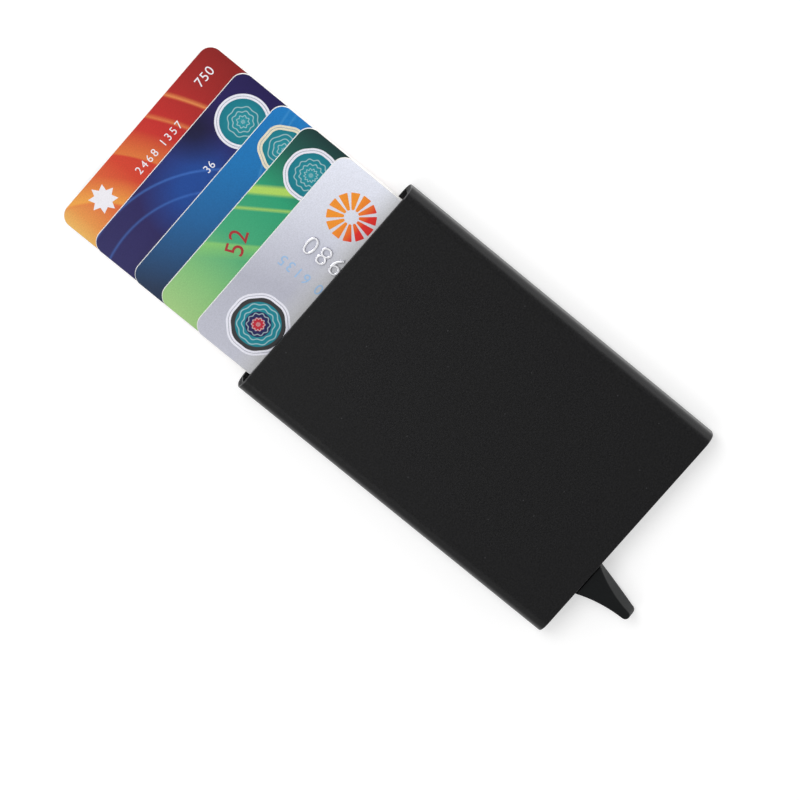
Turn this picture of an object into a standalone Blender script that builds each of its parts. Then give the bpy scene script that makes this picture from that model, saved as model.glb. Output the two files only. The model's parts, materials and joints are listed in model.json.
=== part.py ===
"""Aluminium card holder with a pop-up lever, shown with its five cards fanned out.

The holder lies on its back. +X runs across it, +Y towards the mouth where the cards
come out, +Z towards the front face. The origin is the centre of the back face.
"""
import math

import bmesh
import bpy
from mathutils import Matrix, Vector

# Cards, the size that bank cards share.
CARD_LENGTH = 0.0856
CARD_WIDTH = 0.05398
CARD_THICKNESS = 0.00076
CARD_CORNER = 0.00318
CARD_GAP = 0.00024

# How far each card stands out of the mouth, and how far it lies off the middle.
# From the back of the holder to its front.
CARD_NAMES = ("red", "indigo", "blue", "green", "silver")
CARD_REACHES = {
    "red": 0.0570,
    "indigo": 0.0475,
    "blue": 0.0359,
    "green": 0.0280,
    "silver": 0.0175,
}
CARD_DRIFTS = {
    "red": -0.00025,
    "indigo": -0.00011,
    "blue": -0.00004,
    "green": 0.00019,
    "silver": 0.00022,
}
CARD_COLOURS = {
    "red": (0.60, 0.06, 0.03),
    "indigo": (0.03, 0.02, 0.13),
    "blue": (0.02, 0.16, 0.45),
    "green": (0.05, 0.38, 0.16),
    "silver": (0.60, 0.62, 0.72),
}

# The contact plate in each card, near the end that stays in the case.
CHIP_LENGTH = 0.0126
CHIP_WIDTH = 0.0114
CHIP_THICKNESS = 0.00018
CHIP_CORNER = 0.0015
CHIP_FROM_END = 0.01506
CHIP_FROM_EDGE = 0.02389
CHIP_GAP = 0.00006

# The case is an extruded tube, and the room in it follows from the cards.
SIDE_WALL = 0.0018
FACE_WALL = 0.0009
CASE_CORNER = 0.0030
INNER_CORNER = 0.0006
RIM_CHAMFER = 0.00025
STACK_CLEARANCE = 0.00072

# The pile strips that grip the edges of the cards.
STRIP_THICKNESS = 0.0016
STRIP_GLUE_GAP = 0.00020
STRIP_CARD_GAP = 0.00041
STRIP_FACE_GAP = 0.0004
STRIP_MOUTH_SETBACK = 0.0030
STRIP_FOOT_SETBACK = 0.0100
STRIP_CHAMFER = 0.0003

# The plug that closes the foot of the case and holds the pin of the lever.
CAP_FIT_GAP = 0.0001
CAP_FLOOR = 0.0020
CAP_CHEEK = 0.0006
CAP_CHEEK_PAST_PIN = 0.0026
CAP_CHEEK_CORNER = 0.0020
CAP_END_WALL = 0.0010

# The pin.
PIN_RADIUS = 0.0010
PIN_CHAMFER = 0.0002
PIN_FIT_GAP = 0.00006
PIN_RUNNING_GAP = 0.00012

# The lever: a stair of five steps, a hub on the pin and a fin for the finger.
PIVOT_FROM_SIDE = 0.0160
LEVER_SIDE_GAP = 0.00015
LEVER_ANGLE = math.radians(68.5)
STEP_REACH_SHARE = 0.742
STEP_ROUNDING = 0.0013
ARM_WIDTH = 0.0032
ARM_FLOOR_GAP = 0.0003
HUB_RADIUS = 0.0021
HUB_CARD_GAP = 0.0004
HUB_TURN = math.radians(18)
WEB_HEIGHT = 0.0047
FIN_ROOT_RIGHT = 0.0053
FIN_ROOT_LEFT = 0.0036
FIN_SHOULDER = 0.0001
FIN_DROP = 0.0004
FIN_OVERLAP = 0.0007
FIN_SIDE_GAP = 0.0003
FIN_EDGE_ROUNDING = 0.0004
FIN_WAIST = 0.0100
FIN_WAIST_LEFT = -0.0013
FIN_FRONT_REACH = 0.01765
FIN_FRONT_TIP = -0.0001
FIN_FRONT_TIP_RADIUS = 0.00105
FIN_FRONT_WAIST_RIGHT = 0.0019
FIN_BACK_REACH = 0.01895
FIN_BACK_TIP = 0.0006
FIN_BACK_TIP_RADIUS = 0.00135
FIN_BACK_WAIST_RIGHT = 0.0041
SLOT_STOP_GAP = 0.0003

# One overrun for every cutter, and how finely round shapes are divided.
OVERRUN = 0.0010
CORNER_STEPS = 8
SMALL_CORNER_STEPS = 4
CURVE_STEPS = 8
ROUND_SIDES = 32
SMOOTH_ANGLE = math.radians(32)
SMALL_SHARE = 0.001
ROUND_PROFILE = 0.5

# Sizes that follow from those above.
CARD_PITCH = CARD_THICKNESS + CARD_GAP
CARD_STACK = len(CARD_NAMES) * CARD_PITCH - CARD_GAP
ROOM_HEIGHT = CARD_STACK + 2 * STACK_CLEARANCE
ROOM_WIDTH = CARD_WIDTH + 2 * (STRIP_CARD_GAP + STRIP_THICKNESS + STRIP_GLUE_GAP)
CASE_THICKNESS = ROOM_HEIGHT + 2 * FACE_WALL
CASE_WIDTH = ROOM_WIDTH + 2 * SIDE_WALL
PIVOT_HEIGHT = CAP_FLOOR + ARM_FLOOR_GAP + ARM_WIDTH / 2
CARD_SEAT = PIVOT_HEIGHT + HUB_RADIUS + HUB_CARD_GAP
CASE_LENGTH = CARD_SEAT + CARD_LENGTH
FOOT = -CASE_LENGTH / 2
MOUTH = CASE_LENGTH / 2
MIDDLE = CASE_THICKNESS / 2
ROOM_FLOOR = FACE_WALL
ROOM_TOP = CASE_THICKNESS - FACE_WALL
PIVOT_X = PIVOT_FROM_SIDE - CASE_WIDTH / 2
PIVOT_Y = FOOT + PIVOT_HEIGHT
LEVER_THICKNESS = ROOM_HEIGHT - 2 * (CAP_FIT_GAP + CAP_CHEEK + LEVER_SIDE_GAP)
FIN_THICKNESS = ROOM_HEIGHT - 2 * FIN_SIDE_GAP
FIN_TOP = -PIVOT_HEIGHT - FIN_DROP


def clear_scene():
    """Start from an empty file."""
    for item in list(bpy.data.objects):
        bpy.data.objects.remove(item, do_unlink=True)


def make_material(name, colour, roughness, metallic=0.0):
    """One Principled finish."""
    material = bpy.data.materials.new(name)
    material.use_nodes = True
    shader = material.node_tree.nodes["Principled BSDF"]
    shader.inputs["Base Color"].default_value = (*colour, 1.0)
    shader.inputs["Roughness"].default_value = roughness
    shader.inputs["Metallic"].default_value = metallic
    return material


def arc(centre, radius, start, end, steps):
    """Points of an arc, both ends included."""
    points = []
    for index in range(steps + 1):
        angle = start + (end - start) * index / steps
        points.append((centre[0] + radius * math.cos(angle), centre[1] + radius * math.sin(angle)))
    return points


def curve(start, middle, end, steps):
    """Points of a curve that leaves start and meets end along the lines to middle."""
    points = []
    for index in range(steps + 1):
        share = index / steps
        rest = 1 - share
        weights = (rest * rest, 2 * rest * share, share * share)
        points.append(tuple(
            weights[0] * start[axis] + weights[1] * middle[axis] + weights[2] * end[axis]
            for axis in (0, 1)
        ))
    return points


def rounded_rectangle(width, height, radius, steps):
    """Corner arcs of a rectangle about the origin, counter-clockwise."""
    points = []
    for corner, (side, end) in enumerate(((1, 1), (-1, 1), (-1, -1), (1, -1))):
        centre = (side * (width / 2 - radius), end * (height / 2 - radius))
        start = corner * math.pi / 2
        points += arc(centre, radius, start, start + math.pi / 2, steps)
    return points


def prism(outline, low, high):
    """A closed solid over a counter-clockwise outline, from low to high along Z."""
    mesh = bmesh.new()
    base = mesh.faces.new([mesh.verts.new((x, y, low)) for x, y in reversed(outline)])
    grown = bmesh.ops.extrude_face_region(mesh, geom=[base], use_keep_orig=True)
    lifted = [item for item in grown["geom"] if isinstance(item, bmesh.types.BMVert)]
    bmesh.ops.translate(mesh, verts=lifted, vec=(0, 0, high - low))
    bmesh.ops.recalc_face_normals(mesh, faces=mesh.faces)
    return mesh


def box(low, high):
    """A closed box between two corners."""
    mesh = bmesh.new()
    bmesh.ops.create_cube(mesh, size=1)
    size = [high[axis] - low[axis] for axis in range(3)]
    centre = [(high[axis] + low[axis]) / 2 for axis in range(3)]
    bmesh.ops.scale(mesh, vec=size, verts=mesh.verts)
    bmesh.ops.translate(mesh, vec=centre, verts=mesh.verts)
    return mesh


def round_edges(mesh, axis, width, steps, chosen):
    """Round the chosen edges that run along one axis."""
    edges = []
    for edge in mesh.edges:
        run = edge.verts[1].co - edge.verts[0].co
        along = abs(run[axis])
        if along > 0 and run.length - along < width * SMALL_SHARE and chosen(edge.verts[0].co):
            edges.append(edge)
    bmesh.ops.bevel(mesh, geom=edges, offset=width, segments=steps, profile=ROUND_PROFILE,
                    affect="EDGES", clamp_overlap=True)


def finish_object(name, mesh, material, location=(0, 0, 0), parent=None):
    """Make an object of a mesh, shade its round faces smooth and place it."""
    data = bpy.data.meshes.new(name)
    mesh.to_mesh(data)
    mesh.free()
    data.materials.append(material)
    data.shade_smooth()
    data.set_sharp_from_angle(angle=SMOOTH_ANGLE)
    item = bpy.data.objects.new(name, data)
    bpy.context.scene.collection.objects.link(item)
    item.location = location
    item.parent = parent
    return item


def make_empty(name, location):
    """An empty that marks a joint or a frame."""
    item = bpy.data.objects.new(name, None)
    bpy.context.scene.collection.objects.link(item)
    item.location = location
    return item


def combine(item, name, mesh, operation):
    """Cut a tool shape out of an object, or join it on. The tool isn't part of the model."""
    data = bpy.data.meshes.new(name)
    mesh.to_mesh(data)
    mesh.free()
    tool = bpy.data.objects.new(name, data)
    bpy.context.scene.collection.objects.link(tool)
    tool.location = item.location
    tool.parent = item.parent
    tool.hide_render = True
    tool.display_type = "WIRE"
    modifier = item.modifiers.new(name, "BOOLEAN")
    modifier.operation = operation
    modifier.solver = "EXACT"
    modifier.object = tool
    return tool


def turned(mesh, angle):
    """Turn a mesh about Z."""
    bmesh.ops.rotate(mesh, cent=(0, 0, 0), matrix=Matrix.Rotation(angle, 3, "Z"), verts=mesh.verts)
    return mesh


def card_level(index):
    """Height of the middle of a card, counted from the back of the stack."""
    return MIDDLE + (index - (len(CARD_NAMES) - 1) / 2) * CARD_PITCH


def build_case_tube(frame):
    """Extruded aluminium tube: round sides, flat faces, thin chamfers at both rims."""
    steps = CORNER_STEPS
    full = rounded_rectangle(CASE_WIDTH, CASE_THICKNESS, CASE_CORNER, steps)
    drawn_in = 2 * RIM_CHAMFER
    rim = rounded_rectangle(CASE_WIDTH - drawn_in, CASE_THICKNESS - drawn_in,
                            CASE_CORNER - RIM_CHAMFER, steps)
    room = rounded_rectangle(ROOM_WIDTH, ROOM_HEIGHT, INNER_CORNER, steps)
    sections = (
        (rim, FOOT),
        (full, FOOT + RIM_CHAMFER),
        (full, MOUTH - RIM_CHAMFER),
        (rim, MOUTH),
        (room, MOUTH),
        (room, FOOT),
    )
    mesh = bmesh.new()
    loops = [[mesh.verts.new((x, y, z + MIDDLE)) for x, z in outline] for outline, y in sections]
    for index, loop in enumerate(loops):
        other = loops[(index + 1) % len(loops)]
        for start in range(len(loop)):
            end = (start + 1) % len(loop)
            mesh.faces.new((loop[start], loop[end], other[end], other[start]))
    bmesh.ops.recalc_face_normals(mesh, faces=mesh.faces)
    finish = make_material("black_anodised_aluminium", (0.020, 0.020, 0.021), 0.42, 0.35)
    return finish_object("case_tube", mesh, finish, parent=frame)


def build_side_strips(frame):
    """Two pile strips, glued inside the side walls, that grip the cards by their edges."""
    finish = make_material("black_pile", (0.012, 0.012, 0.013), 0.95)
    low_z = ROOM_FLOOR + STRIP_FACE_GAP
    high_z = ROOM_TOP - STRIP_FACE_GAP
    low_y = FOOT + STRIP_FOOT_SETBACK
    high_y = MOUTH - STRIP_MOUTH_SETBACK
    inner = CARD_WIDTH / 2 + STRIP_CARD_GAP
    outer = inner + STRIP_THICKNESS
    for name, side in (("side_strip_left", -1), ("side_strip_right", 1)):
        ends = sorted((side * inner, side * outer))
        mesh = box((ends[0], low_y, low_z), (ends[1], high_y, high_z))
        bmesh.ops.bevel(mesh, geom=[edge for edge in mesh.edges], offset=STRIP_CHAMFER, segments=1,
                        affect="EDGES")
        finish_object(name, mesh, finish, parent=frame)


def build_end_cap(frame):
    """Moulded plug: a floor, two thin cheeks that carry the pin, and an end wall."""
    left = PIVOT_X - CAP_CHEEK_PAST_PIN
    right = ROOM_WIDTH / 2 - CAP_FIT_GAP
    top = PIVOT_Y + HUB_RADIUS
    low_z = ROOM_FLOOR + CAP_FIT_GAP
    high_z = ROOM_TOP - CAP_FIT_GAP
    mesh = box((left, FOOT, low_z), (right, top, high_z))
    round_edges(mesh, 2, CAP_CHEEK_CORNER, SMALL_CORNER_STEPS, lambda place: place.x < PIVOT_X)
    round_edges(mesh, 1, INNER_CORNER, SMALL_CORNER_STEPS, lambda place: place.x > PIVOT_X)
    finish = make_material("black_moulded_plastic", (0.010, 0.011, 0.012), 0.45)
    cap = finish_object("end_cap", mesh, finish, parent=frame)
    channel = box((left - OVERRUN, FOOT + CAP_FLOOR, low_z + CAP_CHEEK),
                  (right - CAP_END_WALL, top + OVERRUN, high_z - CAP_CHEEK))
    combine(cap, "cap_channel", channel, "DIFFERENCE")
    slot_end = PIVOT_X + FIN_ROOT_RIGHT + SLOT_STOP_GAP
    slot = box((left - OVERRUN, FOOT - OVERRUN, low_z + CAP_CHEEK),
               (slot_end, FOOT + CAP_FLOOR + OVERRUN, high_z - CAP_CHEEK))
    combine(cap, "cap_slot", slot, "DIFFERENCE")
    bore = prism(arc((PIVOT_X, PIVOT_Y), PIN_RADIUS + PIN_FIT_GAP, 0, 2 * math.pi, ROUND_SIDES)[:-1],
                 low_z - OVERRUN, high_z + OVERRUN)
    combine(cap, "cap_bore", bore, "DIFFERENCE")
    return cap


def build_hinge_pin(frame):
    """Steel pin, chamfered at both ends, flush with the outside of the cheeks."""
    half = ROOM_HEIGHT / 2 - CAP_FIT_GAP
    mesh = prism(arc((0, 0), PIN_RADIUS, 0, 2 * math.pi, ROUND_SIDES)[:-1], -half, half)
    rims = [edge for edge in mesh.edges if abs(edge.verts[0].co.z - edge.verts[1].co.z) < PIN_CHAMFER]
    bmesh.ops.bevel(mesh, geom=rims, offset=PIN_CHAMFER, segments=1, affect="EDGES")
    finish = make_material("bright_steel", (0.55, 0.55, 0.56), 0.25, 1.0)
    return finish_object("hinge_pin", mesh, finish, (PIVOT_X, PIVOT_Y, MIDDLE), frame)


def fin_outline(reach, tip_x, tip_radius, waist_right):
    """One face of the fin, from its left root round the tip to its right root."""
    tip = (tip_x, tip_radius - reach)
    left = curve((-FIN_ROOT_LEFT, FIN_TOP), (FIN_WAIST_LEFT, -FIN_WAIST),
                 (tip_x - tip_radius, tip[1]), CURVE_STEPS)
    round_tip = arc(tip, tip_radius, math.pi, 2 * math.pi, CURVE_STEPS)
    right = curve((tip_x + tip_radius, tip[1]), (waist_right, -FIN_WAIST),
                  (FIN_ROOT_RIGHT, FIN_TOP), CURVE_STEPS)
    return left[:-1] + round_tip + right[1:]


def fin_mesh():
    """The fin, whose right side is scooped out towards the front, with rounded rims."""
    back = fin_outline(FIN_BACK_REACH, FIN_BACK_TIP, FIN_BACK_TIP_RADIUS, FIN_BACK_WAIST_RIGHT)
    front = fin_outline(FIN_FRONT_REACH, FIN_FRONT_TIP, FIN_FRONT_TIP_RADIUS,
                        FIN_FRONT_WAIST_RIGHT)
    half = FIN_THICKNESS / 2
    mesh = bmesh.new()
    low = [mesh.verts.new((x, y, -half)) for x, y in back]
    high = [mesh.verts.new((x, y, half)) for x, y in front]
    rims = list(mesh.faces.new(low).edges) + list(mesh.faces.new(high).edges)
    for start in range(len(low)):
        end = (start + 1) % len(low)
        mesh.faces.new((low[start], low[end], high[end], high[start]))
    bmesh.ops.recalc_face_normals(mesh, faces=mesh.faces)
    bmesh.ops.bevel(mesh, geom=rims, offset=FIN_EDGE_ROUNDING, segments=2, profile=ROUND_PROFILE,
                    affect="EDGES", clamp_overlap=True)
    return mesh


def hub_outline():
    """Hub and web that join the fin to the stair, in the lever's own frame."""
    half = ARM_WIDTH / 2
    along = Vector((math.cos(LEVER_ANGLE), math.sin(LEVER_ANGLE)))
    across = Vector((along.y, -along.x))
    web_top = along * WEB_HEIGHT + across * half
    left = FIN_SHOULDER - FIN_ROOT_LEFT
    right = FIN_ROOT_RIGHT - FIN_SHOULDER
    web_foot = (right, CAP_FLOOR - PIVOT_HEIGHT)
    outline = [
        (left, FIN_TOP),
        (left + FIN_OVERLAP, FIN_TOP - FIN_OVERLAP),
        (right - FIN_OVERLAP, FIN_TOP - FIN_OVERLAP),
        (right, FIN_TOP),
        web_foot,
    ]
    outline += curve(web_foot, (right - half, 0), web_top, SMALL_CORNER_STEPS)[1:]
    outline.append(tuple(along * WEB_HEIGHT - across * half))
    outline += arc((0, 0), HUB_RADIUS, LEVER_ANGLE + math.pi / 2, math.pi + HUB_TURN,
                   SMALL_CORNER_STEPS)
    return outline


def stair_mesh():
    """Five steps, the longest at the back, with rounded ends, lying along +X."""
    half = LEVER_THICKNESS / 2
    profile = [(0, -half)]
    low = -half
    for index, name in enumerate(CARD_NAMES):
        reach = STEP_REACH_SHARE * CARD_REACHES[name]
        high = card_level(index) - MIDDLE + CARD_PITCH / 2
        if index == len(CARD_NAMES) - 1:
            high = half
        profile += [(reach, low), (reach, high)]
        low = high
    profile.append((0, half))
    mesh = bmesh.new()
    near = [mesh.verts.new((x, -ARM_WIDTH / 2, z)) for x, z in profile]
    face = mesh.faces.new(near)
    grown = bmesh.ops.extrude_face_region(mesh, geom=[face], use_keep_orig=True)
    lifted = [item for item in grown["geom"] if isinstance(item, bmesh.types.BMVert)]
    bmesh.ops.translate(mesh, verts=lifted, vec=(0, ARM_WIDTH, 0))
    bmesh.ops.recalc_face_normals(mesh, faces=mesh.faces)
    round_edges(mesh, 2, STEP_ROUNDING, SMALL_CORNER_STEPS, lambda place: place.x > ARM_WIDTH)
    return mesh


def build_lever(frame):
    """One moulding: stair, hub and fin. Its origin lies on the axis of the pin."""
    half = LEVER_THICKNESS / 2
    finish = make_material("black_moulded_lever", (0.008, 0.009, 0.010), 0.50)
    lever = finish_object("lever", prism(hub_outline(), -half, half), finish,
                          (PIVOT_X, PIVOT_Y, MIDDLE), frame)
    combine(lever, "lever_stair", turned(stair_mesh(), LEVER_ANGLE), "UNION")
    combine(lever, "lever_fin", fin_mesh(), "UNION")
    bore = prism(arc((0, 0), PIN_RADIUS + PIN_RUNNING_GAP, 0, 2 * math.pi, ROUND_SIDES)[:-1],
                 -half - OVERRUN, half + OVERRUN)
    combine(lever, "lever_bore", bore, "DIFFERENCE")
    return lever


def build_card(frame, index, name):
    """One laminated card with a milled pocket, and the contact plate that lies in it."""
    location = (
        CARD_DRIFTS[name],
        MOUTH + CARD_REACHES[name] - CARD_LENGTH / 2,
        card_level(index),
    )
    half = CARD_THICKNESS / 2
    outline = rounded_rectangle(CARD_WIDTH, CARD_LENGTH, CARD_CORNER, CORNER_STEPS)
    finish = make_material("printed_card_" + name, CARD_COLOURS[name], 0.35)
    card = finish_object("card_" + name, prism(outline, -half, half), finish, location, frame)
    chip_place = (CHIP_FROM_EDGE - CARD_WIDTH / 2, CHIP_FROM_END - CARD_LENGTH / 2)
    pocket_outline = rounded_rectangle(CHIP_WIDTH + 2 * CHIP_GAP, CHIP_LENGTH + 2 * CHIP_GAP,
                                       CHIP_CORNER + CHIP_GAP, SMALL_CORNER_STEPS)
    pocket = prism([(x + chip_place[0], y + chip_place[1]) for x, y in pocket_outline],
                   half - CHIP_THICKNESS - CHIP_GAP, half + OVERRUN)
    combine(card, "pocket_" + name, pocket, "DIFFERENCE")
    chip_outline = rounded_rectangle(CHIP_WIDTH, CHIP_LENGTH, CHIP_CORNER, SMALL_CORNER_STEPS)
    gold = make_material("gold_contacts_" + name, (0.72, 0.48, 0.16), 0.28, 1.0)
    finish_object("chip_" + name, prism(chip_outline, -CHIP_THICKNESS, 0), gold,
                  (*chip_place, half), card)


def build_holder():
    """Put the holder together from its foot to its cards."""
    clear_scene()
    frame = make_empty("holder_frame", (0, 0, 0))
    build_case_tube(frame)
    build_side_strips(frame)
    build_end_cap(frame)
    build_hinge_pin(frame)
    build_lever(frame)
    for index, name in enumerate(CARD_NAMES):
        build_card(frame, index, name)


build_holder()
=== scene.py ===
import json
import math

import bmesh
import bpy
from mathutils import Matrix, Vector

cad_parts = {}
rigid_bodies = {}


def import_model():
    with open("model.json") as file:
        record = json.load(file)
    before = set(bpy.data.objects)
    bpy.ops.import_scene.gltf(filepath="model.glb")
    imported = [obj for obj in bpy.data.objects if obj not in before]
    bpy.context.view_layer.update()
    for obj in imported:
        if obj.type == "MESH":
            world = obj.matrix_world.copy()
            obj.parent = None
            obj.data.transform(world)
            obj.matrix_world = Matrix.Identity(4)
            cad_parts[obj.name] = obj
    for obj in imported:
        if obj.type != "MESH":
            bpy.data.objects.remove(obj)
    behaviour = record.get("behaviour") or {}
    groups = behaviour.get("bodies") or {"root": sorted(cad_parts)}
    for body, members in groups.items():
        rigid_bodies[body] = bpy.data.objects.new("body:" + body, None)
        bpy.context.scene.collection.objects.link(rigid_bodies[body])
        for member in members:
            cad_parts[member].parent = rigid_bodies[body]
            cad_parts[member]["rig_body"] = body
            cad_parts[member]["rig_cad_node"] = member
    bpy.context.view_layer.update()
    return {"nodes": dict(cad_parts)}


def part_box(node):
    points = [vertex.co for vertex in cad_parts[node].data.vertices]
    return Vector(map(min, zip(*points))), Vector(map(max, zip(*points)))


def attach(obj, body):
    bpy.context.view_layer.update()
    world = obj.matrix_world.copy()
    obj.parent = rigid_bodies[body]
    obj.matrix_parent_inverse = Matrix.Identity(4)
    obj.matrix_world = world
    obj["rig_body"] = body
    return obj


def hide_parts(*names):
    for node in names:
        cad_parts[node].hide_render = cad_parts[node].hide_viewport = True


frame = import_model()

# Sleeve
# One length of extruded aluminium tube with round long sides, bead blasted and anodised black.
# Both ends are sawn square and lightly chamfered before it goes into the anodising bath.

MM = 0.001
SLEEVE_CORNER = 3.0 * MM
SIDE_WALL = 1.8 * MM
FACE_WALL = 0.9 * MM
ROOM_CORNER = 0.6 * MM
OUTER_CHAMFER = 0.22 * MM
INNER_CHAMFER = 0.10 * MM
CUT_OVERRUN = 2.0 * MM
SMOOTH_ANGLE = math.radians(25)
LEVEL_TOLERANCE = 0.001 * MM
WALL_TOLERANCE = 0.01 * MM


def linear(code):
    """An sRGB hex colour as linear RGBA."""
    shares = [int(code[place:place + 2], 16) / 255 for place in (1, 3, 5)]
    rgb = [share / 12.92 if share <= 0.04045 else ((share + 0.055) / 1.055) ** 2.4 for share in shares]
    return (*rgb, 1.0)


def new_finish(name, **sockets):
    """A material whose Principled shader has the given sockets set."""
    made = bpy.data.materials.new(name)
    made.use_nodes = True
    shader = made.node_tree.nodes["Principled BSDF"]
    for socket, value in sockets.items():
        shader.inputs[socket.replace("_", " ")].default_value = value
    return made, made.node_tree, shader


def add(tree, kind, settings=None, inputs=None, stops=None):
    """One shader node with its settings, its inputs as values or links, and a ramp's stops."""
    node = tree.nodes.new("ShaderNode" + kind)
    for name, value in (settings or {}).items():
        setattr(node, name, value)
    for name, value in (inputs or {}).items():
        if isinstance(value, bpy.types.NodeSocket):
            tree.links.new(value, node.inputs[name])
        else:
            node.inputs[name].default_value = value
    if stops:
        elements = node.color_ramp.elements
        elements.remove(elements[1])
        elements[0].position, elements[0].color = stops[0]
        for place, colour in stops[1:]:
            elements.new(place).color = colour
    return node


def surface(name, grain, tones, gloss, dent=0.0, drawn=(1.0, 1.0, 1.0), **sockets):
    """A finish whose colour, roughness and height wander together over grains of one size.

    Tones and gloss are its colours and roughness in the hollows and on the crests. A share
    below one in drawn stretches the grains along that axis.
    """
    made, tree, shader = new_finish(name, **sockets)
    place = add(tree, "TexCoord").outputs["Object"]
    laid = add(tree, "Mapping", {}, {"Vector": place, "Scale": drawn})
    noise = add(tree, "TexNoise", {}, {
        "Vector": laid.outputs["Vector"],
        "Scale": 1 / grain,
        "Detail": 3.0,
    })
    height = noise.outputs["Fac"]
    tone = add(tree, "ValToRGB", {}, {"Fac": height}, [
        (0.30, linear(tones[0])),
        (0.70, linear(tones[1])),
    ])
    tree.links.new(tone.outputs["Color"], shader.inputs["Base Color"])
    rough = add(tree, "MapRange", {}, {
        "Value": height,
        "From Min": 0.30,
        "From Max": 0.70,
        "To Min": gloss[0],
        "To Max": gloss[1],
    })
    tree.links.new(rough.outputs["Result"], shader.inputs["Roughness"])
    if dent:
        dents = add(tree, "Bump", {}, {"Height": height, "Distance": dent})
        tree.links.new(dents.outputs["Normal"], shader.inputs["Normal"])
    return made, tree, shader, tone.outputs["Color"]


def block(name, low, high):
    """A box between two corners, its place in its mesh: the start of a piece."""
    bpy.ops.object.select_all(action="DESELECT")
    low, high = Vector(low), Vector(high)
    bpy.ops.mesh.primitive_cube_add(size=1, location=(low + high) / 2, scale=high - low)
    piece = bpy.context.object
    piece.name = piece.data.name = name
    bpy.ops.object.transform_apply(location=True, rotation=True, scale=True)
    return piece


def choose(piece, kind, wanted):
    """Opens the piece in edit mode with only the wanted faces or edges selected."""
    bpy.ops.object.select_all(action="DESELECT")
    piece.select_set(True)
    bpy.context.view_layer.objects.active = piece
    bpy.ops.object.mode_set(mode="EDIT")
    bpy.ops.mesh.select_mode(type=kind)
    bpy.ops.mesh.select_all(action="DESELECT")
    shape = bmesh.from_edit_mesh(piece.data)
    for item in shape.faces if kind == "FACE" else shape.edges:
        item.select_set(wanted(item))
    bmesh.update_edit_mesh(piece.data)


def round_edges(piece, width, steps, wanted):
    """Rounds the wanted edges."""
    choose(piece, "EDGE", wanted)
    bpy.ops.mesh.bevel(offset=width, segments=steps, profile=0.5, affect="EDGES")
    bpy.ops.object.mode_set(mode="OBJECT")


def runs_along(edge, axis):
    """Whether an edge runs along an axis."""
    run = edge.verts[1].co - edge.verts[0].co
    return abs(run[axis]) > 0.999 * run.length


def lies_at(edge, axis, level):
    """Whether both ends of an edge lie at a level along an axis."""
    return all(abs(corner.co[axis] - level) < LEVEL_TOLERANCE for corner in edge.verts)


def carve(piece, tool):
    """Cuts the tool out of the piece and removes the tool."""
    cut = piece.modifiers.new("cut", "BOOLEAN")
    cut.operation = "DIFFERENCE"
    cut.solver = "EXACT"
    cut.object = tool
    bpy.ops.object.select_all(action="DESELECT")
    bpy.context.view_layer.objects.active = piece
    bpy.ops.object.modifier_apply(modifier=cut.name)
    bpy.data.objects.remove(tool)


def paint(piece, finish, wanted=None):
    """Gives a finish to the piece, or to its wanted faces alone."""
    piece.data.materials.append(finish)
    if wanted:
        for face in piece.data.polygons:
            if wanted(face):
                face.material_index = len(piece.data.materials) - 1


def settle(piece, body, slot, *nodes):
    """Shades a finished piece, hands it to its body and hides the CAD nodes it stands for. Its slot is
    not used.
    """
    bpy.ops.object.select_all(action="DESELECT")
    piece.select_set(True)
    bpy.context.view_layer.objects.active = piece
    bpy.ops.object.shade_smooth_by_angle(angle=SMOOTH_ANGLE)
    even = piece.modifiers.new("even_shading", "WEIGHTED_NORMAL")
    even.keep_sharp = True
    bpy.ops.object.modifier_apply(modifier=even.name)
    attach(piece, body)
    if nodes:
        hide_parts(*nodes)
    return piece


foot_corner, mouth_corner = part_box("case_tube")
FOOT, MOUTH = foot_corner.y, mouth_corner.y
room_low = foot_corner + Vector((SIDE_WALL, -CUT_OVERRUN, FACE_WALL))
room_high = mouth_corner - Vector((SIDE_WALL, -CUT_OVERRUN, FACE_WALL))
room = block("room", room_low, room_high)
round_edges(room, ROOM_CORNER, 6, lambda edge: runs_along(edge, 1))
sleeve = block("sleeve", foot_corner, mouth_corner)
round_edges(sleeve, SLEEVE_CORNER, 20, lambda edge: runs_along(edge, 1))
carve(sleeve, room)


def on_wall(edge):
    """Whether an edge of the sleeve's ends lies on the wall of the room."""
    return all(
        room_low.x - WALL_TOLERANCE < corner.co.x < room_high.x + WALL_TOLERANCE
        and room_low.z - WALL_TOLERANCE < corner.co.z < room_high.z + WALL_TOLERANCE
        for corner in edge.verts
    )


def at_rim(edge):
    """Whether an edge of the sleeve lies in the plane of one of its ends."""
    return lies_at(edge, 1, FOOT) or lies_at(edge, 1, MOUTH)


round_edges(sleeve, OUTER_CHAMFER, 3, lambda edge: at_rim(edge) and not on_wall(edge))
round_edges(sleeve, INNER_CHAMFER, 2, lambda edge: at_rim(edge) and on_wall(edge))

# The blasting leaves a fine even grain under the dyed oxide, which the eye reads as a deep matt
# black with a grey bloom where it turns to the light. The beads are about 0.1 mm; the grain is
# drawn 0.35 mm wide, because the real one is finer than the render shows.
BLAST_GRAIN = 0.35 * MM
BLAST_DEPTH = 0.02 * MM
PIT_SPACING = 4.0 * MM
blasted, tree, shader, tone = surface("black_anodised_blasted_aluminium", BLAST_GRAIN,
                                      ("#111112", "#1d1d1e"), (0.28, 0.36), BLAST_DEPTH,
                                      Specular_IOR_Level=0.35)
place = add(tree, "TexCoord").outputs["Object"]
pits = add(tree, "TexVoronoi", {}, {"Vector": place, "Scale": 1 / PIT_SPACING})
speck = add(tree, "ValToRGB", {}, {"Fac": pits.outputs["Distance"]}, [
    (0.025, (1.0, 1.0, 1.0, 1.0)),
    (0.045, (0.0, 0.0, 0.0, 1.0)),
])
speckled = add(tree, "Mix", {"data_type": "RGBA"}, {
    0: speck.outputs["Color"],
    6: tone,
    7: linear("#3c3c3e"),
})
tree.links.new(speckled.outputs[2], shader.inputs["Base Color"])
paint(sleeve, blasted)

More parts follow.
